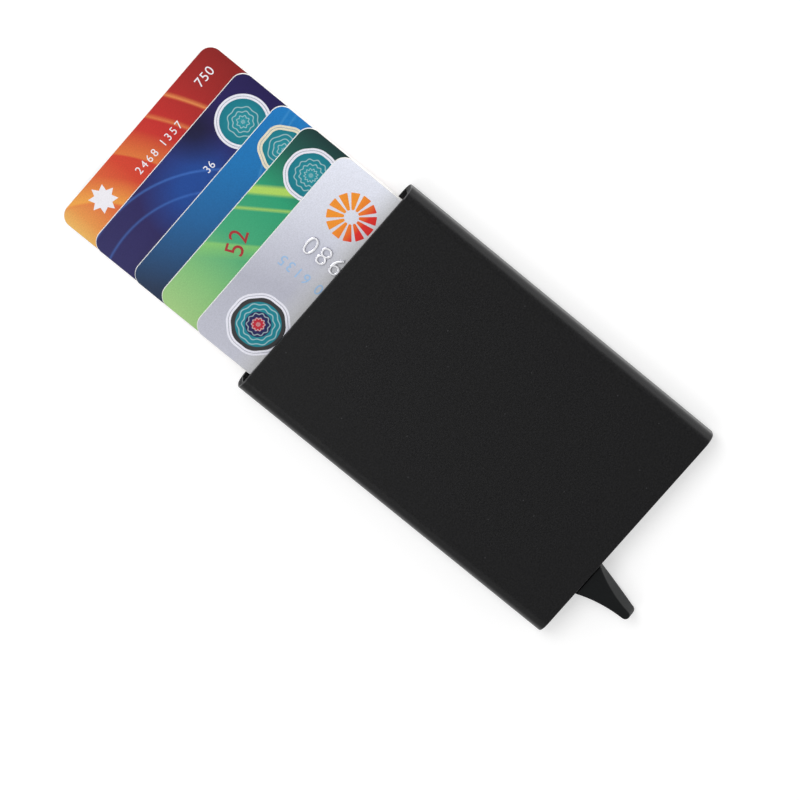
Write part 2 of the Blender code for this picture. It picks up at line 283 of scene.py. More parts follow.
# The saw leaves fine straight scores across the end faces, which are a little greyer than the
# blasted skin. They are drawn 0.3 mm apart, coarser than the real 0.1 mm.
SAW_SPACING = 0.3 * MM
SAW_DEPTH = 0.02 * MM
sawn = surface("black_anodised_sawn_aluminium", SAW_SPACING, ("#0f0f10", "#262628"), (0.55, 0.75),
               SAW_DEPTH, (1.0, 1.0, 0.15), Specular_IOR_Level=0.15)[0]
paint(sleeve, sawn, lambda face: abs(face.normal.y) > 0.98)

# The chamfers at the round corners are painted lighter. This is partly wear, where the dye rubs thin
# first and the metal starts to shine through, and partly a painted highlight that stands in for the
# glint these chamfers catch from the light.
CORNER_WEAR_AND_GLINT = 27.5 * MM
worn_edge_and_glint = surface("worn_anodised_edge_and_painted_glint", BLAST_GRAIN, ("#262628", "#444447"), (0.26, 0.38))[0]
paint(sleeve, worn_edge_and_glint, lambda face: 0.1 < abs(face.normal.y) < 0.98
      and abs(face.center.x) > CORNER_WEAR_AND_GLINT)
settle(sleeve, "case", "case_aluminium", "case_tube")

# End cap
# A moulded plug pressed into the foot of the sleeve: a floor, an end wall and two thin cheeks
# that carry the pin. Moulded in black nylon with a fine spark-eroded texture.

CAP_EDGE = 0.12 * MM
MERGE_DISTANCE = 0.001 * MM


def softened_copy(node, name, width, steps):
    """A copy of a CAD node as clean faces with softened edges, as moulding leaves them."""
    piece = frame["nodes"][node].copy()
    piece.data = frame["nodes"][node].data.copy()
    piece.name = piece.data.name = name
    bpy.context.scene.collection.objects.link(piece)
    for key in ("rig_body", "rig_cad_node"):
        del piece[key]
    piece.parent = None
    piece.data.materials.clear()
    choose(piece, "FACE", lambda face: True)
    bpy.ops.mesh.remove_doubles(threshold=MERGE_DISTANCE)
    bpy.ops.mesh.dissolve_limited(angle_limit=math.radians(1))
    bpy.ops.object.mode_set(mode="OBJECT")
    soft = piece.modifiers.new("soft_edges", "BEVEL")
    soft.width = width
    soft.segments = steps
    soft.angle_limit = math.radians(32)
    bpy.ops.object.modifier_apply(modifier=soft.name)
    return piece


cap = softened_copy("end_cap", "foot_plug", CAP_EDGE, 2)

# Spark-eroded moulds give nylon a fine leathery grain, about 0.1 mm and drawn at 0.3 mm, that
# breaks up reflections to a soft satin.
MOULD_GRAIN = 0.3 * MM
MOULD_DEPTH = 0.008 * MM
nylon = surface("black_moulded_nylon", MOULD_GRAIN, ("#141516", "#1a1b1c"), (0.46, 0.56),
                MOULD_DEPTH)[0]
paint(cap, nylon)
settle(cap, "case", "cap_plastic", "end_cap")

# Hinge pin
# A drawn steel pin, cropped and tumbled. It is pressed through the cheeks of the plug, and the
# lever turns on it between them.

pin_low, pin_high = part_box("hinge_pin")
PIN_CHAMFER = 0.2 * MM
pin_middle = (pin_low + pin_high) / 2
bpy.ops.object.select_all(action="DESELECT")
bpy.ops.mesh.primitive_cylinder_add(
    vertices=64,
    radius=(pin_high.x - pin_low.x) / 2,
    depth=pin_high.z - pin_low.z,
    location=pin_middle,
)
pin = bpy.context.object
pin.name = pin.data.name = "steel_pin"
bpy.ops.object.transform_apply(location=True, rotation=True, scale=True)
round_edges(pin, PIN_CHAMFER, 3,
            lambda edge: lies_at(edge, 2, pin_low.z) or lies_at(edge, 2, pin_high.z))

# Drawing leaves fine lines along the steel, so its gloss is stretched across the pin.
DRAW_LINE = 0.05 * MM
drawn = surface("bright_drawn_steel", DRAW_LINE, ("#b4b4b6", "#cacacc"), (0.18, 0.36), 0.0,
                (1.0, 1.0, 0.05), Metallic=1.0)[0]
paint(pin, drawn)
settle(pin, "case", "pin_steel", "hinge_pin")

# Lever
# One moulding that turns on the pin: a stair of five steps that pushes the cards, a hub, and a
# scooped fin that stands out of the foot for a finger.

LEVER_EDGE = 0.18 * MM
lever = softened_copy("lever", "thumb_lever", LEVER_EDGE, 3)
acetal = surface("black_moulded_acetal", MOULD_GRAIN, ("#0e1011", "#161819"), (0.50, 0.60),
                 MOULD_DEPTH, Specular_IOR_Level=0.15)[0]
paint(lever, acetal)
settle(lever, "lever_body", "lever_plastic", "lever")

# Side strips
# Woven pile tape, cut to length and glued along both side walls. Its short black nylon tufts
# grip the edges of the cards.

PILE_CORNER = 0.4 * MM
PILE_CELL = 0.5 * MM
PILE_JITTER = 0.07 * MM
TUFT = 0.35 * MM
TUFT_DEPTH = 0.2 * MM
pile, tree, shader = new_finish("black_nylon_pile", Roughness=0.95, Sheen_Weight=0.6)
place = add(tree, "TexCoord").outputs["Object"]
tufts = add(tree, "TexVoronoi", {}, {"Vector": place, "Scale": 1 / TUFT})
tone = add(tree, "ValToRGB", {}, {"Fac": tufts.outputs["Distance"]}, [
    (0.0, linear("#2a2a2c")),
    (0.6, linear("#0c0c0d")),
])
tree.links.new(tone.outputs["Color"], shader.inputs["Base Color"])
hollows = add(tree, "Bump", {"invert": True}, {
    "Height": tufts.outputs["Distance"],
    "Strength": 0.8,
    "Distance": TUFT_DEPTH,
})
tree.links.new(hollows.outputs["Normal"], shader.inputs["Normal"])
for side in ("left", "right"):
    low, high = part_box("side_strip_" + side)
    strip = block("pile_strip_" + side, low, high)
    round_edges(strip, PILE_CORNER, 3, lambda edge: True)
    for axis in range(3):
        for step in range(1, round((high - low)[axis] / PILE_CELL)):
            normal = Vector((0.0, 0.0, 0.0))
            normal[axis] = 1.0
            choose(strip, "FACE", lambda face: True)
            bpy.ops.mesh.bisect(plane_co=low + normal * step * PILE_CELL, plane_no=normal)
            bpy.ops.object.mode_set(mode="OBJECT")
    choose(strip, "FACE", lambda face: True)
    bpy.ops.transform.vertex_random(offset=PILE_JITTER, uniform=1.0, normal=0.0, seed=3)
    bpy.ops.object.mode_set(mode="OBJECT")
    paint(strip, pile)
    settle(strip, "case", "strip_pile", "side_strip_" + side)

# Card blanks
# Bank cards of the common size: a white PVC core with printed sheets laminated on both faces,
# punched out with round corners. A pocket is milled in the front for the contact plate.

CARD_CORNER = 3.18 * MM
EDGE_BREAK = 0.11 * MM
POCKET_CORNER = 1.5 * MM
POCKET_GAP = 0.06 * MM
PRINT_GRAIN = 0.30 * MM
RIPPLE_SPACING = 2 * MM
RIPPLE_DEPTH = 0.03 * MM
CORE_GRAIN = 0.4 * MM
CORE_DEPTH = 0.01 * MM

# The punched edge shows the core, a slightly warm matt white, as a thin line round each print.
core = surface("white_pvc_core", CORE_GRAIN, ("#efeeec", "#f8f7f5"), (0.44, 0.56), CORE_DEPTH)[0]


def on_card(name, across, inward):
    """A point on a card's front, in millimetres from its middle line and from its outer end."""
    low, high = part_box("card_" + name)
    return Vector(((low.x + high.x) / 2 + across * MM, high.y - inward * MM, high.z))


def lay(sheet, below, shape, centre, turn, size, stops):
    """Prints one blend over a colour: a straight one from centre along turn, or a round one.

    Its stops are a share of its size, a colour and how well the ink covers what is below.
    """
    card, tree, place = sheet
    spot = add(tree, "Mapping", {"vector_type": "TEXTURE"}, {
        "Vector": place,
        "Location": on_card(card, *centre),
        "Rotation": (0.0, 0.0, math.radians(turn)),
        "Scale": (size * MM, size * MM, 1.0),
    })
    kind = {"straight": "LINEAR", "round": "SPHERICAL"}[shape]
    blend = add(tree, "TexGradient", {"gradient_type": kind}, {"Vector": spot.outputs["Vector"]})
    ramp = add(tree, "ValToRGB", {}, {"Fac": blend.outputs["Fac"]}, [
        (share, (*linear(colour)[:3], cover)) for share, colour, cover in stops
    ])
    over = add(tree, "Mix", {"data_type": "RGBA"}, {
        0: ramp.outputs["Alpha"],
        6: below,
        7: ramp.outputs["Color"],
    })
    return over.outputs[2]


# Offset print under a clear gloss laminate: saturated inks with a barely visible dot grain, and a
# soft even gloss that ripples a little where the sheets were pressed. The dots are 0.1 mm and are
# drawn at 0.3 mm.
def print_finish(card, paper, roughness, blends, face="front"):
    """The print on a face of a card: blends laid one over the other on a ground colour."""
    made, tree, shader = new_finish(card + "_laminated_print_" + face, Roughness=roughness,
                                    Specular_IOR_Level=0.3)
    place = add(tree, "TexCoord").outputs["Object"]
    ink = add(tree, "RGB").outputs["Color"]
    ink.default_value = linear(paper)
    for blend in blends:
        ink = lay((card, tree, place), ink, *blend)
    dots = add(tree, "TexNoise", {}, {"Vector": place, "Scale": 1 / PRINT_GRAIN, "Detail": 2.0})
    shade = add(tree, "MapRange", {}, {
        "Value": dots.outputs["Fac"],
        "From Min": 0.3,
        "From Max": 0.7,
        "To Min": 0.93,
        "To Max": 1.07,
    })
    inked = add(tree, "VectorMath", {"operation": "SCALE"}, {0: ink, "Scale": shade.outputs["Result"]})
    tree.links.new(inked.outputs["Vector"], shader.inputs["Base Color"])
    ripple = add(tree, "TexNoise", {}, {"Vector": place, "Scale": 1 / RIPPLE_SPACING, "Detail": 1.0})
    pressed = add(tree, "Bump", {}, {
        "Height": ripple.outputs["Fac"],
        "Strength": 0.3,
        "Distance": RIPPLE_DEPTH,
    })
    tree.links.new(pressed.outputs["Normal"], shader.inputs["Normal"])
    return made


def blank(name, printed, backing):
    """One card of the stack: a punched blank with its pocket, printed on both faces."""
    low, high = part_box("card_" + name)
    card = block("bank_card_" + name, low, high)
    round_edges(card, CARD_CORNER, 16, lambda edge: runs_along(edge, 2))
    round_edges(card, EDGE_BREAK, 2, lambda edge: lies_at(edge, 2, low.z) or lies_at(edge, 2, high.z))
    chip_low, chip_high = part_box("chip_" + name)
    gap = Vector((POCKET_GAP, POCKET_GAP, POCKET_GAP))
    pocket = block("pocket", chip_low - gap, chip_high + gap)
    round_edges(pocket, POCKET_CORNER + POCKET_GAP, 8, lambda edge: runs_along(edge, 2))
    carve(card, pocket)
    paint(card, core)
    paint(card, printed, lambda face: face.normal.z > 0.99 and face.center.z > high.z - POCKET_GAP)
    paint(card, backing, lambda face: face.normal.z < -0.99)
    return settle(card, name + "_body", "card_" + name + "_print", "card_" + name)


# Card backs
# The back of each card is a plain pale print with a magnetic stripe and a paper signature panel,
# both rolled on as thin foils before the laminate is pressed.

STRIPE_FROM_EDGE = 5.5 * MM
STRIPE_WIDTH = 12.7 * MM
STRIPE_GRAIN = 0.6 * MM
PANEL_FROM_EDGE = 21.0 * MM
PANEL_WIDTH = 8.6 * MM
PANEL_LENGTH = 58.0 * MM
PANEL_FROM_END = 8.0 * MM
PANEL_LINES = 1.1 * MM
PANEL_CORNER = 0.4 * MM
FILM = 0.02 * MM
FILM_EDGE = 0.008 * MM

# Barium ferrite in lacquer: dark brown, smooth, a little duller than the laminate round it.
magnetic = surface("dark_magnetic_stripe", STRIPE_GRAIN, ("#1c1613", "#28201b"), (0.30, 0.42), 0.0,
                   (1.0, 0.02, 1.0))[0]

# The panel takes a pen, so it is matt paper white, with fine grey security lines across it.
signed, tree, shader = new_finish("signature_panel_paper", Roughness=0.85)
place = add(tree, "TexCoord").outputs["Object"]
slanted = add(tree, "Mapping", {}, {"Vector": place, "Rotation": (0.0, 0.0, math.radians(35))})
lines = add(tree, "TexWave", {"bands_direction": "X"}, {
    "Vector": slanted.outputs["Vector"],
    "Scale": math.pi / 10 / PANEL_LINES,
    "Distortion": 0.6,
})
tone = add(tree, "ValToRGB", {}, {"Fac": lines.outputs["Fac"]}, [
    (0.00, linear("#a9b0ba")),
    (0.25, linear("#eeeeea")),
])
tree.links.new(tone.outputs["Color"], shader.inputs["Base Color"])


def film(name, card, low, high, corner, finish):
    """A thin foil on the back of a card, between two corners, its edges pressed round."""
    foil = block(name, low, high)
    if corner:
        round_edges(foil, corner, 6, lambda edge: runs_along(edge, 2))
    round_edges(foil, FILM_EDGE, 2, lambda edge: lies_at(edge, 2, low[2]))
    paint(foil, finish)
    return settle(foil, card + "_body", "card_" + card + "_print")


def back_films(card):
    """The magnetic stripe and the signature panel on the back of a card."""
    low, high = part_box("card_" + card)
    near = low.x + STRIPE_FROM_EDGE
    film("magnetic_stripe_" + card, card, (near, low.y + EDGE_BREAK, low.z - FILM),
         (near + STRIPE_WIDTH, high.y - EDGE_BREAK, low.z), 0, magnetic)
    near = low.x + PANEL_FROM_EDGE
    film("signature_panel_" + card, card,
         (near, high.y - PANEL_FROM_END - PANEL_LENGTH, low.z - FILM),
         (near + PANEL_WIDTH, high.y - PANEL_FROM_END, low.z), PANEL_CORNER, signed)


def back_finish(card, colour, deep):
    """The pale print on the back of a card: a tint of its front that deepens in soft broad waves."""
    return print_finish(card, colour, 0.4, (
        ("straight", (30, 0), 160, 70, (
            (0.00, deep, 0.0),
            (0.30, deep, 0.5),
            (0.55, deep, 0.1),
            (1.00, deep, 0.7),
        )),
        ("round", (-40, 70), 0, 110, (
            (0.34, deep, 0.0),
            (0.36, deep, 0.5),
            (0.37, deep, 0.0),
            (0.44, deep, 0.0),
            (0.47, deep, 0.4),
            (0.48, deep, 0.0),
        )),
    ), "back")


# Seals
# Round or polygonal security foils, hot stamped on the front of four cards: a white rim with a
# fine grey line in it round a field of fine wavy rings.

SEAL_RIM = 0.50 * MM
SEAL_LINE = 0.14 * MM
SEAL_CORNER = 1.9 * MM
SEAL_GROOVE = 0.008 * MM
ROUND_SEAL_SIDES = 12
FIELD_FADE_FROM = 0.76
FIELD_FADE_TO = 0.80


def seal_field(name, centre, radius, colours, petals, rings):
    """Stamped foil: fine rings round the centre that swell and draw in with the angle.

    The eye sees a bright coloured lacquer with a woven shimmer of paler lines.
    """
    made, tree, shader = new_finish(name, Metallic=0.25, Roughness=0.34)
    place = add(tree, "TexCoord").outputs["Object"]
    spot = add(tree, "Mapping", {"vector_type": "TEXTURE"}, {
        "Vector": place,
        "Location": centre,
        "Scale": (radius, radius, 1.0),
    })
    flat = add(tree, "SeparateXYZ", {}, {"Vector": spot.outputs["Vector"]})
    turn = add(tree, "Math", {"operation": "ARCTAN2"}, {0: flat.outputs["Y"], 1: flat.outputs["X"]})
    swell = add(tree, "Math", {"operation": "MULTIPLY"}, {0: turn.outputs["Value"], 1: float(petals)})
    swing = add(tree, "Math", {"operation": "COSINE"}, {0: swell.outputs["Value"]})
    reach = add(tree, "VectorMath", {"operation": "LENGTH"}, {0: spot.outputs["Vector"]})
    phase = add(tree, "Math", {"operation": "MULTIPLY_ADD"}, {
        0: reach.outputs["Value"],
        1: 2 * math.pi * rings,
        2: swing.outputs["Value"],
    })
    wave = add(tree, "Math", {"operation": "SINE"}, {0: phase.outputs["Value"]})
    tone = add(tree, "ValToRGB", {}, {"Fac": reach.outputs["Value"]}, [
        (share, linear(colour)) for share, colour in colours
    ])
    fine = add(tree, "ValToRGB", {}, {"Fac": wave.outputs["Value"]}, [
        (0.55, (0.0, 0.0, 0.0, 1.0)),
        (0.95, (0.55, 0.55, 0.55, 1.0)),
    ])
    inside = add(tree, "MapRange", {}, {
        "Value": reach.outputs["Value"],
        "From Min": FIELD_FADE_FROM,
        "From Max": FIELD_FADE_TO,
        "To Min": 1.0,
        "To Max": 0.0,
    })
    shimmer = add(tree, "Math", {"operation": "MULTIPLY"}, {
        0: fine.outputs["Color"],
        1: inside.outputs["Result"],
    })
    lined = add(tree, "Mix", {"data_type": "RGBA"}, {
        0: shimmer.outputs["Value"],
        6: tone.outputs["Color"],
        7: linear("#d8f0f0"),
    })
    tree.links.new(lined.outputs[2], shader.inputs["Base Color"])
    return made


FOIL_GRAIN = 0.3 * MM
seal_rim = surface("white_stamped_foil", FOIL_GRAIN, ("#e4e4f0", "#f0f0f8"), (0.28, 0.42))[0]
cream_rim = surface("cream_stamped_foil", FOIL_GRAIN, ("#e0d8ba", "#ece6ce"), (0.28, 0.42))[0]
seal_line = surface("grey_security_line", FOIL_GRAIN, ("#9c9dac", "#acadbc"), (0.34, 0.46))[0]


def seal(card, across, inward, radius, sides, rim, field):
    """One stamped seal, its steps drawn inwards from its edge."""
    centre = on_card(card, across, inward)
    bpy.ops.object.select_all(action="DESELECT")
    bpy.ops.mesh.primitive_cylinder_add(
        vertices=sides,
        radius=radius,
        depth=FILM,
        location=centre + Vector((0.0, 0.0, FILM / 2)),
        rotation=(0.0, 0.0, math.pi / sides),
    )
    foil = bpy.context.object
    foil.name = foil.data.name = "foil_seal_" + card
    bpy.ops.object.transform_apply(location=True, rotation=True, scale=True)
    if sides < ROUND_SEAL_SIDES:
        round_edges(foil, SEAL_CORNER, 6, lambda edge: runs_along(edge, 2))
    for finish in (rim, seal_line, field):
        foil.data.materials.append(finish)
    choose(foil, "FACE", lambda face: face.normal.z > 0.9)
    for width, depth, finish in ((SEAL_RIM, -SEAL_GROOVE, 1), (SEAL_LINE, SEAL_GROOVE, 0),
                                 (SEAL_RIM, 0.0, 2)):
        bpy.ops.mesh.inset(thickness=width, depth=depth)
        foil.active_material_index = finish
        bpy.ops.object.material_slot_assign()
    bpy.ops.object.mode_set(mode="OBJECT")
    return settle(foil, card + "_body", "card_" + card + "_print")


# Figures
# Plain numerals printed, stamped or raised on the fronts, all in one simple upright face.

FIGURE_HEIGHT_SHARE = 0.70
FIGURE_MERGE = 0.0005 * MM


def figures(name, card, text, across, inward, height, turn, lift, ink, spacing=1.0, soft=0.0):
    """Numerals on a card's front, turned about Z: a closed mesh that stands up by lift."""
    bpy.ops.object.select_all(action="DESELECT")
    raised = on_card(card, across, inward) + Vector((0.0, 0.0, lift / 2))
    bpy.ops.object.text_add(location=raised, rotation=(0.0, 0.0, math.radians(turn)))
    made = bpy.context.object
    made.name = name
    made.data.body = text
    made.data.size = height * MM / FIGURE_HEIGHT_SHARE
    made.data.space_character = spacing
    made.data.align_x = "CENTER"
    made.data.align_y = "CENTER"
    made.data.resolution_u = 4
    made.data.extrude = lift / 2 - soft
    made.data.bevel_depth = soft
    made.data.bevel_resolution = 1
    made.data.offset = -soft
    bpy.ops.object.convert(target="MESH")
    made.data.name = name
    bpy.ops.object.transform_apply(location=True, rotation=True, scale=True)
    choose(made, "FACE", lambda face: True)
    bpy.ops.mesh.remove_doubles(threshold=FIGURE_MERGE)
    bpy.ops.mesh.normals_make_consistent(inside=False)
    bpy.ops.object.mode_set(mode="OBJECT")
    paint(made, ink)
    return settle(made, card + "_body", "card_" + card + "_print")


# Screen inks lie thicker than offset ones, so they are opaque and a touch duller than the gloss.
# The screen leaves a faint mesh, about 0.1 mm and drawn at 0.25 mm.
SCREEN_MESH = 0.25 * MM
white_ink = surface("white_screen_ink", SCREEN_MESH, ("#eceaf0", "#f6f4fa"), (0.42, 0.50))[0]

# Red card
# The lowest card of the stack, laminated and punched like the others. A red print that warms to
# amber in one corner, with pale ripples spreading from that corner.

STAR_PLACE = (-17.0, 5.2)
STAR_RADIUS = 3.5 * MM
STAR_POINTS = 8
STAR_WAIST_SHARE = 0.62
red_print = print_finish("red", "#c8322c", 0.34, (
    ("straight", (29, 0), 180, 58, (
        (0.00, "#861f1d", 1.0),
        (0.20, "#a52826", 1.0),
        (0.42, "#c5302c", 1.0),
        (0.64, "#d4452f", 1.0),
        (0.80, "#e0703e", 1.0),
        (0.90, "#e8984e", 1.0),
        (0.97, "#eebc66", 1.0),
    )),
    ("round", (-36, 20), 0, 46, (
        (0.10, "#f0a24a", 0.00),
        (0.24, "#f0a24a", 0.45),
        (0.25, "#e8603c", 0.00),
        (0.36, "#f0a24a", 0.00),
        (0.49, "#f3ac4c", 0.80),
        (0.51, "#e8603c", 0.00),
    )),
    ("round", (-52, 30), 0, 84, (
        (0.160, "#ef8a48", 0.00),
        (0.172, "#f2a05a", 0.75),
        (0.180, "#d8402e", 0.00),
        (0.230, "#ef8a48", 0.00),
        (0.243, "#f2a05a", 0.55),
        (0.250, "#d8402e", 0.00),
    )),
))
blank("red", red_print, back_finish("red", "#cdbbb8", "#b59a98"))
back_films("red")

star_middle = on_card("red", *STAR_PLACE)
bpy.ops.object.select_all(action="DESELECT")
bpy.ops.mesh.primitive_cylinder_add(
    vertices=2 * STAR_POINTS,
    radius=STAR_RADIUS,
    depth=FILM,
    location=star_middle + Vector((0.0, 0.0, FILM / 2)),
)
star = bpy.context.object
star.name = star.data.name = "printed_star_red"
bpy.ops.object.transform_apply(location=True, rotation=True, scale=True)


def star_side(corner):
    """The number of a corner of the star, counted round it."""
    out = corner - star_middle
    return round(math.atan2(out.y, out.x) * STAR_POINTS / math.pi)


choose(star, "EDGE", lambda edge: runs_along(edge, 2) and star_side(edge.verts[0].co) % 2)
bpy.ops.transform.resize(value=(STAR_WAIST_SHARE, STAR_WAIST_SHARE, 1.0),
                         center_override=star_middle)
bpy.ops.object.mode_set(mode="OBJECT")
paint(star, white_ink)
settle(star, "red_body", "card_red_print")
figures("printed_figures_red", "red", "2468 1357", 0.5, 7.3, 1.9, 0, FILM, white_ink, 1.35)
figures("printed_value_red", "red", "750", 20.0, 4.6, 2.3, 0, FILM, white_ink, 1.1)

# Indigo card
# The second card. Its deep indigo print has a royal blue glow and fine orbit lines under the
# laminate, and a round seal is stamped on it.

INDIGO_SEAL = (17.6, 8.4)
SEAL_TEAL = ((0.0, "#2aa0ad"), (0.55, "#178c9b"), (1.0, "#0f7f90"))
indigo_print = print_finish("indigo", "#2c2260", 0.34, (
    ("straight", (28, 0), 180, 56, (
        (0.00, "#231a50", 1.0),
        (0.22, "#291f5c", 1.0),
        (0.60, "#2a235a", 1.0),
        (1.00, "#333062", 1.0),
    )),
    ("round", (-1, 11), 0, 15, (
        (0.05, "#1c4a9c", 0.0),
        (0.70, "#1d4c9a", 0.9),
    )),
    ("round", (9, 1), 0, 9, (
        (0.05, "#14142c", 0.0),
        (0.80, "#14142c", 0.75),
    )),
    ("round", (-20, 34), 0, 44, (
        (0.215, "#4f86dd", 0.00),
        (0.225, "#4f86dd", 0.45),
        (0.235, "#4f86dd", 0.00),
        (0.330, "#4f86dd", 0.00),
        (0.340, "#4f86dd", 0.35),
        (0.350, "#4f86dd", 0.00),
    )),
))
blank("indigo", indigo_print, back_finish("indigo", "#b8b8ca", "#9797b4"))
figures("printed_figures_indigo", "indigo", "36", 4.5, 9.4, 1.9, 0, FILM, white_ink, 1.1)
back_films("indigo")
seal("indigo", *INDIGO_SEAL, 6.6 * MM, 64, seal_rim,
     seal_field("teal_stamped_foil_indigo", on_card("indigo", *INDIGO_SEAL), 5.4 * MM,
                SEAL_TEAL, 8, 5))

# Blue card
# The middle card. An azure print falls slantwise to slate navy under pale arcs, with a cream
# rimmed seal stamped on it.

BLUE_SEAL = (18.6, 8.0)
blue_print = print_finish("blue", "#1b70b0", 0.34, (
    ("straight", (28, 0), 205, 60, (
        (0.00, "#1a7cc4", 1.0),
        (0.30, "#1d74b4", 1.0),
        (0.55, "#23629a", 1.0),
        (0.85, "#2a3a55", 1.0),
        (1.00, "#2a3044", 1.0),
    )),
    ("round", (30, 46), 0, 62, (
        (0.300, "#5aa9dc", 0.00),
        (0.306, "#5aa9dc", 0.35),
        (0.312, "#5aa9dc", 0.00),
        (0.330, "#5aa9dc", 0.00),
        (0.336, "#5aa9dc", 0.30),
        (0.342, "#5aa9dc", 0.00),
    )),
))
blank("blue", blue_print, back_finish("blue", "#b6c0cc", "#93a6bc"))
back_films("blue")
seal("blue", *BLUE_SEAL, 6.6 * MM, 6, cream_rim,
     seal_field("teal_stamped_foil_blue", on_card("blue", *BLUE_SEAL), 5.4 * MM,
                SEAL_TEAL, 6, 5))

# Green card
# The fourth card. Its green print brightens from one end to the other, swept by yellow-green
# ribbons, with a stamped seal and figures screened in dark red.

GREEN_SEAL = (18.0, 8.6)
dark_red_ink = surface("dark_red_screen_ink", SCREEN_MESH, ("#9c2228", "#b02a30"), (0.42, 0.50))[0]
green_print = print_finish("green", "#4fb77b", 0.34, (
    ("straight", (28, 0), 180, 56, (
        (0.00, "#1b3234", 1.0),
        (0.16, "#225c52", 1.0),
        (0.34, "#2f9f74", 1.0),
        (0.58, "#46a97a", 1.0),
        (0.80, "#84c07c", 1.0),
        (1.00, "#a6cc86", 1.0),
    )),
    ("straight", (12, 0), 215, 30, (
        (0.10, "#b9dc62", 0.0),
        (0.13, "#b9dc62", 0.9),
        (0.17, "#b9dc62", 0.9),
        (0.20, "#7cc96c", 0.0),
        (0.28, "#b9dc62", 0.0),
        (0.30, "#b9dc62", 0.7),
        (0.32, "#b9dc62", 0.0),
        (0.58, "#9ad56e", 0.0),
        (0.60, "#9ad56e", 0.6),
        (0.72, "#9ad56e", 0.0),
    )),
))
blank("green", green_print, back_finish("green", "#bdccbe", "#9ab49f"))
back_films("green")
seal("green", *GREEN_SEAL, 6.9 * MM, 8, seal_rim,
     seal_field("teal_stamped_foil_green", on_card("green", *GREEN_SEAL), 5.7 * MM,
                SEAL_TEAL, 12, 5))
figures("printed_figures_green", "green", "52", -5.0, 6.0, 4.4, 24, FILM, dark_red_ink, 1.05)

# Silver card
# A satin pearl print with raised figures tipped in silver foil, a large seal and a fan of bars
# that steps from orange to red.

FAN_MIDDLE = (16.6, 11.4)
FAN_BLADES = 12
FAN_INNER = 1.7 * MM
FAN_OUTER = 5.8 * MM
FAN_ROOT = 0.60 * MM
FAN_SPREAD = 3.6
BLADE_CORNER = 0.35 * FAN_ROOT
TIPPING_GRAIN = 0.5 * MM
RAISED_LIFT = 0.44 * MM
RAISED_SHOULDER = 0.13 * MM
SILVER_SEAL = (-16.6, 11.4)
SEAL_BANDS = ((0.00, "#c8283a"), (0.22, "#c8283a"), (0.24, "#25255a"), (0.44, "#25255a"),
              (0.46, "#178c9b"), (0.78, "#178c9b"), (0.80, "#3c3c3e"), (1.00, "#3c3c3e"))
silver_print = print_finish("silver", "#c9c9d6", 0.38, (
    # The first blend is palest along the card's +X edge and darkest just past its middle: partly the
    # pearl print, partly a painted sheen of light from that side.
    ("straight", (28, 0), 200, 58, (
        (0.00, "#eef1fd", 1.0),
        (0.30, "#dadce8", 1.0),
        (0.62, "#b7b8c5", 1.0),
        (1.00, "#c4c5d1", 1.0),
    )),
    ("straight", (0, 12), -90, 8, (
        (0.0, "#cececc", 0.0),
        (1.0, "#cbcbc7", 0.9),
    )),
))
blank("silver", silver_print, back_finish("silver", "#c8c8d0", "#a9a9b6"))
back_films("silver")
seal("silver", *SILVER_SEAL, 8.0 * MM, 8, seal_rim,
     seal_field("banded_stamped_foil_silver", on_card("silver", *SILVER_SEAL), 6.8 * MM,
                SEAL_BANDS, 10, 6))
# The figures are pressed up from below and tipped with hot silver foil, which keeps its mirror on
# their shoulders. Their tops are painted a pale satin white: partly foil rubbed thin, partly a painted
# highlight.
tipping = surface("silver_tipping_foil", TIPPING_GRAIN, ("#c4c4cc", "#e4e4ea"), (0.20, 0.34), 0.0,
                  Metallic=1.0)[0]
worn_tops_and_highlight = surface("worn_tipping_foil_and_painted_highlight", TIPPING_GRAIN, ("#e6e6ec", "#fafafe"), (0.30, 0.44))[0]
raised = figures("raised_figures_silver", "silver", "2068 1359 0273 6980", 5.8, 41.4, 4.7, 90,
                 RAISED_LIFT, tipping, 1.16, RAISED_SHOULDER)
paint(raised, worn_tops_and_highlight, lambda face: face.normal.z > 0.95)
pale_blue = surface("pale_blue_screen_ink", SCREEN_MESH, ("#94bade", "#a2c4e8"), (0.38, 0.46))[0]
figures("printed_figures_silver", "silver", "90 6135", -1.2, 12.5, 2.6, 90, FILM, pale_blue, 1.25)

fan_middle = on_card("silver", *FAN_MIDDLE)
fan = block("printed_fan_silver", fan_middle + Vector((FAN_INNER, -FAN_ROOT / 2, 0.0)),
            fan_middle + Vector((FAN_OUTER, FAN_ROOT / 2, FILM)))
choose(fan, "FACE", lambda face: face.normal.x > 0.9)
bpy.ops.transform.resize(value=(1.0, FAN_SPREAD, 1.0),
                         center_override=fan_middle + Vector((FAN_OUTER, 0.0, FILM / 2)))
bpy.ops.object.mode_set(mode="OBJECT")
round_edges(fan, BLADE_CORNER, 3, lambda edge: runs_along(edge, 2))
choose(fan, "FACE", lambda face: True)
for blade in range(FAN_BLADES - 1):
    bpy.ops.mesh.duplicate()
    bpy.ops.transform.rotate(value=2 * math.pi / FAN_BLADES, orient_axis="Z",
                             center_override=fan_middle)
bpy.ops.object.mode_set(mode="OBJECT")
# The blades step from orange to red down the card, in two opaque inks screened one over the other.
fan_ink, tree, shader, tone = surface("orange_to_red_screen_ink", SCREEN_MESH,
                                      ("#f08a1c", "#f99c2c"), (0.36, 0.44))
sheet = ("silver", tree, add(tree, "TexCoord").outputs["Object"])
reddened = lay(sheet, tone, "straight", (0, FAN_MIDDLE[1] - 1.5), -90, 5.0, (
    (0.0, "#f07a1c", 0.0),
    (1.0, "#e0261e", 1.0),
))
tree.links.new(reddened, shader.inputs["Base Color"])
paint(fan, fan_ink)
settle(fan, "silver_body", "card_silver_print")

# Contact plates
# Gold plated contacts on a glass-epoxy tape, let into the milled pocket of each card. Grooves
# divide the gold into eight pads round a middle field.

